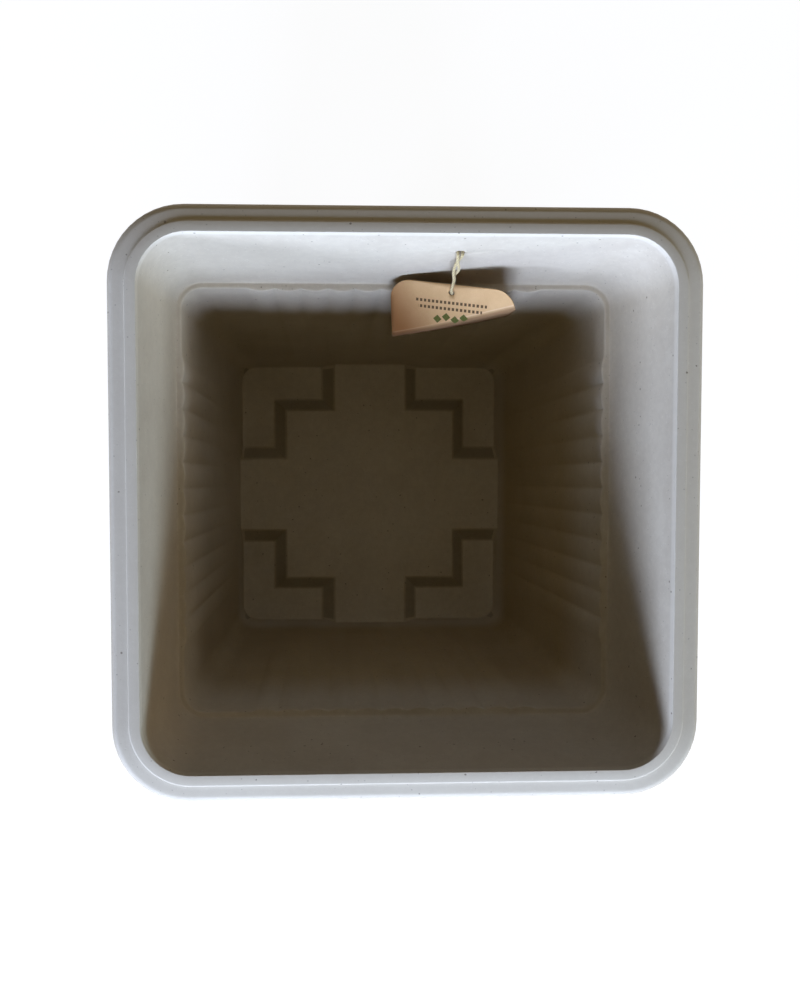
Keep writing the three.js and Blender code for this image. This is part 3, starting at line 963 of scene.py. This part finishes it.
    def cutter(self) -> bpy.types.Object:
        """The twine hole and the gate mark, as a solid to take away.

        Returns:
            The solid's object.
        """
        bm = bmesh.new()
        x, drop, radius = self.hole
        z = self.height - drop
        for size, depth, place, turn in (
            (radius, 4 * self.wall, (x, self.collar_at(z) + self.wall / 2, z), QUARTER),
            (self.gate_radius, self.gate_depth, (0.0, 0.0, self.floor_z), 0.0),
        ):
            turned = Matrix.Translation(Vector(place) * MM) @ Matrix.Rotation(turn, 4, "X")
            bmesh.ops.create_cone(bm, cap_ends=True, segments=self.hole_sides, radius1=size * MM,
                                  radius2=size * MM, depth=depth * MM, matrix=turned)
        mesh = bpy.data.meshes.new("pot_cutter")
        bm.to_mesh(mesh)
        bm.free()
        cutter = bpy.data.objects.new("pot_cutter", mesh)
        bpy.context.scene.collection.objects.link(cutter)
        return cutter

    def build(self, finish: SpeckledComposite) -> bpy.types.Object:
        """Makes the pot.

        Args:
            finish: The pot's material.

        Returns:
            The pot's object.
        """
        bm = self.skin()
        for side in self.floor_sides():
            side.cut(bm)
            side.press(bm)
        self.ease_floor(bm)
        bmesh.ops.remove_doubles(bm, verts=bm.verts, dist=TOUCH)
        bmesh.ops.recalc_face_normals(bm, faces=bm.faces)
        pot = new_piece("pot", bm, finish.make())
        cutter = self.cutter()
        cut = pot.modifiers.new("holes", "BOOLEAN")
        cut.object, cut.operation, cut.solver = cutter, "DIFFERENCE", "EXACT"
        bpy.context.view_layer.update()
        made = bpy.data.meshes.new_from_object(pot.evaluated_get(bpy.context.evaluated_depsgraph_get()))
        pot.modifiers.clear()
        pot.data, made.name = made, "pot"
        bpy.data.objects.remove(cutter)
        made.shade_smooth()
        made.set_sharp_from_angle(angle=math.radians(self.sharp))
        return seat(pot, Body.POT, Slot.POT, "pot_shell")


def smooth_path(points: Sequence[Vector], steps: int) -> list[Vector]:
    """Evenly spaced points on a centripetal curve through the given points.

    Args:
        points: The points that the curve passes through.
        steps: Number of stretches.

    Returns:
        The new points.
    """
    ends = [points[0] * 2 - points[1], *points, points[-1] * 2 - points[-2]]
    fine: list[Vector] = []
    for p0, p1, p2, p3 in zip(ends, ends[1:], ends[2:], ends[3:]):
        t0, t1 = 0.0, math.sqrt((p1 - p0).length)
        t2 = t1 + math.sqrt((p2 - p1).length)
        t3 = t2 + math.sqrt((p3 - p2).length)
        for t in spread(t1, t2, FINE_STEPS)[:-1]:
            a1 = p0.lerp(p1, (t - t0) / (t1 - t0))
            a2 = p1.lerp(p2, (t - t1) / (t2 - t1))
            a3 = p2.lerp(p3, (t - t2) / (t3 - t2))
            early = a1.lerp(a2, (t - t0) / (t2 - t0))
            late = a2.lerp(a3, (t - t1) / (t3 - t1))
            fine.append(early.lerp(late, (t - t1) / (t2 - t1)))
    fine.append(points[-1].copy())
    along = [0.0]
    for a, b in zip(fine, fine[1:]):
        along.append(along[-1] + (b - a).length)
    spaced, k = [], 0
    for i in range(steps + 1):
        want = along[-1] * i / steps
        while k + 2 < len(along) and along[k + 1] < want:
            k += 1
        spaced.append(fine[k].lerp(fine[k + 1], (want - along[k]) / (along[k + 1] - along[k])))
    return spaced


def path_length(points: Sequence[Vector]) -> float:
    """Length of a line of points."""
    return sum((b - a).length for a, b in zip(points, points[1:]))


@dataclass(frozen=True)
class Ring:
    """One ring of a strand: its middle, the way ahead, its radius and its distance along it, in metres."""

    place: Vector
    ahead: Vector
    size: float
    at: float


@dataclass(frozen=True)
class TwineLay:
    """How the twine is laid: its width, plies and the length of one turn of a ply, in millimetres."""

    width: float = 1.7
    plies: int = 3
    turn: float = 5.5
    sides: int = 18
    groove: float = 0.2
    map_length: float = 10.0
    cap_angles: tuple[float, ...] = (25.0, 50.0, 75.0)

    def cap(self, place: Vector, ahead: Vector, radius: float, at: float, sign: int) -> list[Ring]:
        """Rings of a rounded end, from the strand outwards.

        Args:
            place: The end of the middle line.
            ahead: The strand's direction there.
            radius: The strand's radius there.
            at: Distance along the strand.
            sign: 1 at the far end and -1 at the near end.

        Returns:
            The rings.
        """
        found = []
        for angle in map(math.radians, self.cap_angles):
            middle = place + ahead * sign * radius * math.sin(angle)
            found.append(Ring(middle, ahead, radius * math.cos(angle), at))
        return found

    def rings(self, path: Sequence[Vector], thin: float) -> list[Ring]:
        """All rings of a strand.

        Args:
            path: The strand's middle line, in metres.
            thin: Width at the far end as a share of the width.

        Returns:
            The rings, with those of both ends.
        """
        radius, length, last, done = self.width / 2 * MM, path_length(path), len(path) - 1, 0.0
        tangents = [(path[min(i + 1, last)] - path[max(i - 1, 0)]).normalized() for i in range(last + 1)]
        found = self.cap(path[0], tangents[0], radius, 0.0, -1)[::-1]
        for i, (place, ahead) in enumerate(zip(path, tangents)):
            done += (place - path[i - 1]).length if i else 0.0
            found.append(Ring(place, ahead, radius * mix(1.0, thin, done / length), done))
        return found + self.cap(path[-1], tangents[-1], radius * thin, length, 1)

    def tube(self, bm: BMesh, path: Sequence[Vector], thin: float = 1.0) -> None:
        """Adds a laid strand along a path, with rounded ends.

        Args:
            bm: The mesh that takes it.
            path: The strand's middle line, in metres.
            thin: Width at the far end as a share of the width.
        """
        mark = bm.verts.layers.int.get("station") or bm.verts.layers.int.new("station")
        run = bm.verts.layers.float.get("run") or bm.verts.layers.float.new("run")
        lay = bm.loops.layers.uv.get("lay") or bm.loops.layers.uv.new("lay")
        verts = bmesh.ops.create_circle(bm, cap_ends=False, radius=MM, segments=self.sides)["verts"]
        for index, vert in enumerate(verts):
            vert[mark] = index
        first = edges = list({e for v in verts for e in v.link_edges})
        rings = self.rings(path, thin)
        side = rings[0].ahead.orthogonal().normalized()
        faces: set[BMFace] = set()
        for number, ring in enumerate(rings):
            if number:
                verts, edges = grow_ring(bm, edges)
                faces.update(f for v in verts for f in v.link_faces)
            side = (side - ring.ahead * side.dot(ring.ahead)).normalized()
            up = ring.ahead.cross(side)
            spin = 2 * math.pi * ring.at / (self.turn * MM)
            for vert in verts:
                angle = 2 * math.pi * vert[mark] / self.sides
                bulge = abs(math.cos((angle - spin) * self.plies / 2))
                reach = ring.size * (1 - self.groove + self.groove * bulge)
                vert.co = ring.place + (side * math.cos(angle) + up * math.sin(angle)) * reach
                vert[run] = ring.at
        for end in (first, edges):
            faces.update(bmesh.ops.contextual_create(bm, geom=end)["faces"])
        for face in faces:
            stations = [l.vert[mark] for l in face.loops]
            wraps = max(stations) - min(stations) > self.sides / 2
            for loop in face.loops:
                turn = loop.vert[mark] + (self.sides if wraps and loop.vert[mark] < self.sides / 2 else 0)
                at = loop.vert[run] / MM
                loop[lay].uv = (turn / self.sides - at / self.turn + 0.5 / self.plies, at / self.map_length)


@dataclass
class TagHanger:
    """The twine: a twisted loop through the card's hole, and the knot behind the wall that keeps it.

    Lengths are in millimetres, and the bends of the knot's loose ends are given as a multiple of the
    strand's offset, the distance behind the coil and the height over the hole.
    """

    pot: PotShell
    tag: "HangTag"
    lay: TwineLay = TwineLay()
    offset: float = 1.2
    turns: float = 0.75
    foot: Triple = (1.99, 10.31, 4.04)
    through: tuple[Triple, ...] = (
        (1.02, 3.92, 4.16), (0.59, 0.86, 2.4), (0.16, 0.04, -0.24),
        (-0.14, 1.33, -2.85), (-0.18, 4.02, -3.85), (0.12, 7.01, -2.57))
    bend_from: Triple = (1.0, 9.0, 4.0)
    strand_steps: int = 8
    loop_steps: int = 150
    knot_radius: float = 2.5
    knot_turns: float = 3.0
    knot_gap: float = 0.3
    coil_wide: float = 0.2
    coil_pitch: float = 0.86
    coil_points: int = 16
    coil_steps: int = 110
    end_straight: float = 2.0
    end_pinch: Triple = (0.8, -0.6, 0.1)
    end_bends: tuple[Triple, ...] = ((1.3, 1.2, -1.2), (2.2, 1.4, -4.5), (2.7, 0.9, -8.0))
    end_steps: int = 48
    end_thin: float = 0.86

    def strand(self, sign: int) -> list[Vector]:
        """One strand of the twisted pair, from the wall down to near the card.

        Args:
            sign: 1 for the strand that goes down in front of the card, -1 for the other.

        Returns:
            Points along it.
        """
        pivot, foot = self.tag.pivot, self.tag.on_card(*self.foot)
        along, across = foot - pivot, Vector((1, 0, 0))
        out = across.cross(along).normalized()
        points = []
        for share in spread(0.0, 1.0, self.strand_steps):
            angle = share * self.turns * 2 * math.pi
            shift = (across * math.cos(angle) + out * math.sin(angle)) * sign * self.offset * MM
            points.append(pivot + along * share + shift)
        return points

    def route(self) -> list[Vector]:
        """The loop's middle line: down in front of the card, through its hole and up behind."""
        through = [self.tag.on_card(*place) for place in self.through]
        return smooth_path([*self.strand(1), *through, *reversed(self.strand(-1))], self.loop_steps)

    def build_loop(self, material: bpy.types.Material) -> tuple[bpy.types.Object, list[Vector]]:
        """Makes the loop.

        Args:
            material: The twine's finish.

        Returns:
            The loop and its middle line.
        """
        bm, route = bmesh.new(), self.route()
        self.lay.tube(bm, route)
        bmesh.ops.recalc_face_normals(bm, faces=bm.faces)
        return new_piece("twine_strands", bm, material), route

    def behind(self, x: float, y: float, up: float) -> Vector:
        """A point given across from the wall's hole, at a depth and up from the hole, in metres."""
        hole_x, drop, _ = self.pot.hole
        return Vector((hole_x + x, y, self.pot.height - drop + up)) * MM

    def loose_end(self, sign: int, wall_y: float) -> list[Vector]:
        """Points of one end of the twine, from the wall's inside through the coil and down.

        Args:
            sign: The strand that it goes on from, 1 or -1.
            wall_y: Depth of the wall's outside, in millimetres.

        Returns:
            The points.
        """
        x, front, end = sign * self.offset, self.tag.pivot.y / MM, wall_y + self.knot_turns * self.lay.width
        wide, out, up = self.end_pinch
        return [*(self.behind(x, y, 0.0) for y in (front, front + self.end_straight, wall_y)),
                self.behind(x * wide, end + out, up * sign),
                *(self.behind(x * wide, end + out, up) for wide, out, up in self.end_bends)]

    def coil(self, wall_y: float) -> list[Vector]:
        """Points of the coil round the two ends.

        Args:
            wall_y: Depth of the wall's outside, in millimetres.

        Returns:
            The points.
        """
        points = []
        for i in range(int(self.knot_turns * self.coil_points) + 1):
            turns = i / self.coil_points
            angle = turns * 2 * math.pi
            depth = wall_y + self.lay.width * (0.5 + turns * self.coil_pitch)
            points.append(self.behind((self.knot_radius + self.coil_wide) * math.cos(angle), depth,
                                      self.knot_radius * math.sin(angle)))
        return points

    def build_knot(self, material: bpy.types.Material) -> bpy.types.Object:
        """Makes the knotted ends behind the wall.

        Args:
            material: The twine's finish.

        Returns:
            The knot.
        """
        bm = bmesh.new()
        top = self.pot.height - self.pot.hole[1] + self.knot_radius + self.lay.width
        wall_y = self.pot.collar_at(top) + self.pot.wall + self.knot_gap
        for sign in (-1, 1):
            self.lay.tube(bm, smooth_path(self.loose_end(sign, wall_y), self.end_steps), self.end_thin)
        self.lay.tube(bm, smooth_path(self.coil(wall_y), self.coil_steps))
        bmesh.ops.recalc_face_normals(bm, faces=bm.faces)
        knot = new_piece("twine_stopper", bm, material)
        return seat(knot, Body.KNOT, Slot.TWINE, "twine_knot")


@dataclass
class HangTag:
    """The card tag, creased and bent back so that its lower flap leans on the wall."""

    pot: PotShell
    width: float = 71.0
    length: float = 92.0
    thick: float = 0.5
    corner: float = 12.0
    corner_steps: int = 10
    hole: float = 1.6
    hole_down: float = 4.6
    hole_sides: int = 28
    yaw: float = -37.5
    tilt: float = 40.0
    roll: float = 33.5
    fold_down: float = 16.0
    fold_skew: float = 20.4
    fold_back: float = 70.0
    fold_radius: float = 3.5
    fold_strips: int = 6
    curl_radius: float = 180.0
    curl_from: Span = (-8.0, -6.0)
    curl_toward: Span = (-0.8, -0.6)
    hang_out: float = 1.6
    twine_drop: float = 27.0
    twine_out: float = 13.6
    grid: float = 3.0
    columns: int = 24
    touch: float = 1e-5
    # Width of the band along the crease where the highlight is painted.
    crease_highlight: float = 0.7
    shade_share: float = 0.4

    def __post_init__(self) -> None:
        """Works out where the card hangs and where it bends."""
        hole_x, drop, _ = self.pot.hole
        z = self.pot.height - drop
        self.pivot = Vector((hole_x, self.pot.collar_at(z) - self.hang_out, z)) * MM
        self.centre = self.pivot + Vector((0, -self.twine_out, -self.twine_drop)) * MM
        yaw, tilt, roll = (Matrix.Rotation(math.radians(degrees), 3, axis) for degrees, axis in (
            (self.yaw, "Z"), (self.tilt, "X"), (self.roll, "Z")))
        self.turn = yaw @ tilt @ roll
        skew = math.radians(self.fold_skew)
        self.down = Vector((math.sin(skew), -math.cos(skew), 0.0))
        self.bend = self.fold_radius * math.radians(self.fold_back)

    def on_card(self, x: float, y: float, z: float) -> Vector:
        """A point given across, up and out of the card from its hole, in the pot's frame in metres."""
        return self.centre + self.turn @ Vector((x, y, z)) * MM

    def below(self, place: Vector) -> float:
        """How far a flat point lies below the crease."""
        return (place - Vector((0, -self.fold_down, 0))).dot(self.down)

    def bent(self, place: Vector) -> Vector:
        """Where a flat point goes when the card is bent back.

        Args:
            place: The flat point.

        Returns:
            The bent point.
        """
        s = self.below(place)
        if s <= 0:
            return place.copy()
        angle = min(s, self.bend) / self.fold_radius
        rest = max(s - self.bend, 0.0)
        forward = self.fold_radius * math.sin(angle) + rest * math.cos(angle)
        height = self.fold_radius * (math.cos(angle) - 1) - rest * math.sin(angle)
        return place + self.down * (forward - s) + Vector((0, 0, height))

    def curl(self, place: Vector) -> float:
        """How far the card's lower left bows back from its plane at a flat point.

        Args:
            place: The flat point.

        Returns:
            The distance.
        """
        held = place - self.down * max(self.below(place), 0.0)
        (from_x, from_y), (to_x, to_y) = self.curl_from, self.curl_toward
        reach = max(0.0, to_x * (held.x - from_x) + to_y * (held.y - from_y))
        return reach * reach / (2 * self.curl_radius)

    def flat_card(self) -> BMesh:
        """The flat card with its hole, cut into strips and cells, in millimetres.

        Returns:
            The mesh.
        """
        bm = bmesh.new()
        bmesh.ops.create_grid(bm, x_segments=1, y_segments=1, size=0.5)
        bmesh.ops.scale(bm, verts=bm.verts, vec=(self.width, self.length, 1))
        bmesh.ops.translate(bm, verts=bm.verts, vec=(0, self.hole_down - self.length / 2, 0))
        bmesh.ops.bevel(bm, geom=list(bm.verts), offset=self.corner, offset_type="OFFSET",
                        segments=self.corner_steps, profile=0.5, affect="VERTICES", material=-1)
        bmesh.ops.delete(bm, geom=list(bm.faces), context="FACES_ONLY")
        bmesh.ops.create_circle(bm, cap_ends=False, radius=self.hole, segments=self.hole_sides)
        bmesh.ops.triangle_fill(bm, use_beauty=True, use_dissolve=False, edges=list(bm.edges))
        start, across, up = Vector((0, -self.fold_down, 0)), Vector((1, 0, 0)), Vector((0, 1, 0))
        cuts = [(start + self.down * s, self.down) for s in spread(0.0, self.bend, self.fold_strips)]
        cuts.append((start - self.down * self.crease_highlight, self.down))
        rows = int(self.length / self.grid)
        cuts += [(up * (self.hole_down - i * self.grid), up) for i in range(1, rows)]
        cuts += [(across * (i - self.columns / 2) * self.grid, across) for i in range(1, self.columns)]
        for place, normal in cuts:
            geom = [*bm.verts, *bm.edges, *bm.faces]
            bmesh.ops.bisect_plane(bm, geom=geom, dist=self.touch, plane_co=place, plane_no=normal)
        return bm

    def build(self, finish: KraftCard) -> bpy.types.Object:
        """Makes the card.

        Args:
            finish: The card's material.

        Returns:
            The card's object.
        """
        bm = self.flat_card()
        chart = bm.loops.layers.uv.new("card")
        crease = bm.verts.layers.float.new("crease")
        turned = bm.verts.layers.float.new("turned")
        bmesh.ops.recalc_face_normals(bm, faces=bm.faces)
        if next(iter(bm.faces)).normal.z < 0:
            bmesh.ops.reverse_faces(bm, faces=bm.faces)
        for face in bm.faces:
            for loop in face.loops:
                loop[chart].uv = loop.vert.co.xy
        for vert in bm.verts:
            flat = vert.co.copy()
            vert[crease] = max(0.0, 1.0 - abs(self.below(flat)) / self.crease_highlight)
            # How far into the bent-back flap a point lies, where the card's finish paints shade.
            vert[turned] = min(1.0, max(0.0, self.below(flat) / (self.shade_share * self.bend)))
            vert.co = self.on_card(*(self.bent(flat) - Vector((0, 0, self.curl(flat)))))
        card = new_piece("card_tag", bm, finish.make())
        stock = card.modifiers.new("stock", "SOLIDIFY")
        stock.thickness, stock.offset = self.thick * MM, 0.0
        return seat(card, Body.TAG, Slot.CARD, "hang_tag")


@dataclass(frozen=True)
class SoftBox:
    """A rectangular soft light that faces the pot: direction in degrees, distance and size in metres."""

    name: str
    azimuth: float
    elevation: float
    size: Span
    power: float
    colour: Triple
    distance: float = 3.0

    def build(self, target: Vector) -> None:
        """Makes the light.

        Args:
            target: The point that it faces.
        """
        data = bpy.data.lights.new(self.name, "AREA")
        data.shape, data.size, data.size_y = "RECTANGLE", *self.size
        data.energy, data.color = self.power, self.colour
        light = bpy.data.objects.new(self.name, data)
        azimuth, elevation = math.radians(self.azimuth), math.radians(self.elevation)
        toward = Vector((math.sin(azimuth) * math.cos(elevation), -math.cos(azimuth) * math.cos(elevation),
                         math.sin(elevation)))
        facing = toward.to_track_quat("Z", "Y").to_matrix().to_4x4()
        light.matrix_world = Matrix.Translation(target + toward * self.distance) @ facing
        bpy.context.scene.collection.objects.link(light)


@dataclass(frozen=True)
class RoomGlow:
    """The room's own light from its sides and from above."""

    side: Colour = (0.03, 0.022, 0.016, 1.0)
    top: Colour = (0.116, 0.085, 0.021, 1.0)
    top_axis: Triple = (0.0, -0.38, 0.925)
    top_span: Span = (0.4, 0.85)

    def build(self) -> None:
        """Makes the world, which the camera sees as plain white."""
        world = bpy.data.worlds.new("room")
        bpy.context.scene.world = world
        world.use_nodes = True
        sheet = NodeSheet(world.node_tree)
        background = next(n for n in world.node_tree.nodes if n.type == "BACKGROUND")
        toward = sheet.add("TexCoord").outputs["Generated"]
        rise = sheet.add("VectorMath", {0: toward, 1: self.top_axis}, operation="DOT_PRODUCT")
        room = sheet.blend(sheet.band(rise.outputs["Value"], *self.top_span), self.side, self.top)
        sheet.fill(background, {"Color": sheet.blend(sheet.seeing_rays(), room, WHITE)})


@dataclass
class Studio:
    """Camera, lights, room and floor."""

    camera_place: Triple = (-0.05046, 0.01557, 0.73574)
    camera_turn: Triple = (-0.0417, -0.037, -0.0024)
    sensor: float = 36.0
    lens: float = 32.4
    clip: Span = (0.02, 50.0)
    shift: Span = (0.0597, 0.0124)
    lights: tuple[SoftBox, ...] = (
        SoftBox("window", 0.0, 18.6, (1.8, 0.8), 138.0, (0.595, 0.72, 1.0)),
        SoftBox("left_window", -52.0, 10.7, (1.1, 0.6), 99.0, (0.615, 0.735, 1.0)),
        SoftBox("right_window", 52.0, 13.2, (1.1, 0.47), 36.0, (0.65, 0.84, 1.0)),
        SoftBox("right_lamp", 94.0, 19.0, (1.0, 0.9), 9.5, (1.0, 0.8, 0.52)),
        SoftBox("back_lamp", 180.0, -1.9, (2.0, 0.28), 11.0, (1.0, 0.87, 0.68)),
    )
    aim: Triple = (0.0, 0.0, 0.25)
    glow: RoomGlow = RoomGlow()
    floor_half: float = 4.0
    floor_grey: Colour = (0.3, 0.3, 0.3, 1.0)
    floor_roughness: float = 0.9
    floor_shine: float = 0.92
    floor_lit: Colour = (0.16, 0.16, 0.16, 1.0)

    def camera(self) -> None:
        """Makes the camera at the photograph's viewpoint."""
        data = bpy.data.cameras.new("camera")
        data.sensor_fit, data.sensor_height, data.sensor_width = "AUTO", self.sensor, self.sensor
        data.lens, data.clip_start, data.clip_end = self.lens, *self.clip
        data.shift_x, data.shift_y = self.shift
        camera = bpy.data.objects.new("camera", data)
        turn = Vector(self.camera_turn)
        camera.matrix_world = Matrix.Translation(self.camera_place) @ Matrix.Rotation(turn.length, 4, turn)
        bpy.context.scene.collection.objects.link(camera)
        bpy.context.scene.camera = camera

    def floor(self) -> None:
        """Makes the pale floor, white to the camera, which keeps the pot's soft shadow."""
        bm = bmesh.new()
        bmesh.ops.create_grid(bm, x_segments=1, y_segments=1, size=self.floor_half)
        material, sheet, shader = new_material("pale_floor")
        sheet.fill(shader, {"Base Color": self.floor_grey, "Roughness": self.floor_roughness})
        shine = sheet.add("Emission", {"Color": WHITE, "Strength": self.floor_shine})
        lit = sheet.add("BsdfDiffuse", {"Color": self.floor_lit})
        white = sheet.add("AddShader", {0: shine.outputs[0], 1: lit.outputs[0]})
        choice = sheet.add("MixShader", {0: sheet.seeing_rays(), 1: shader.outputs[0], 2: white.outputs[0]})
        output = next(n for n in material.node_tree.nodes if n.type == "OUTPUT_MATERIAL")
        sheet.fill(output, {"Surface": choice.outputs[0]})
        new_piece("floor", bm, material)

    def build(self) -> None:
        """Makes everything round the object."""
        bpy.context.scene.view_settings.view_transform = "Standard"
        for light in self.lights:
            light.build(Vector(self.aim))
        self.glow.build()
        self.floor()


def main() -> None:
    """Builds the planter in its studio."""
    logging.basicConfig(level=logging.INFO, format="%(name)s: %(message)s")
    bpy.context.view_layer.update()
    studio = Studio()
    studio.camera()
    pot = PotShell()
    tag = HangTag(pot)
    hanger = TagHanger(pot, tag)
    twine = CottonTwine().make()
    loop, route = hanger.build_loop(twine)
    knot = hanger.build_knot(twine)
    tag.build(KraftCard())
    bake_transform(loop)
    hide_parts("twine_loop")
    LOG.info("%s: %d faces on %s and %s", loop.name, len(loop.data.polygons),
             Body.TWINE.value, Body.TAG.value)
    pot.build(SpeckledComposite())
    studio.build()


if __name__ == "__main__":
    main()
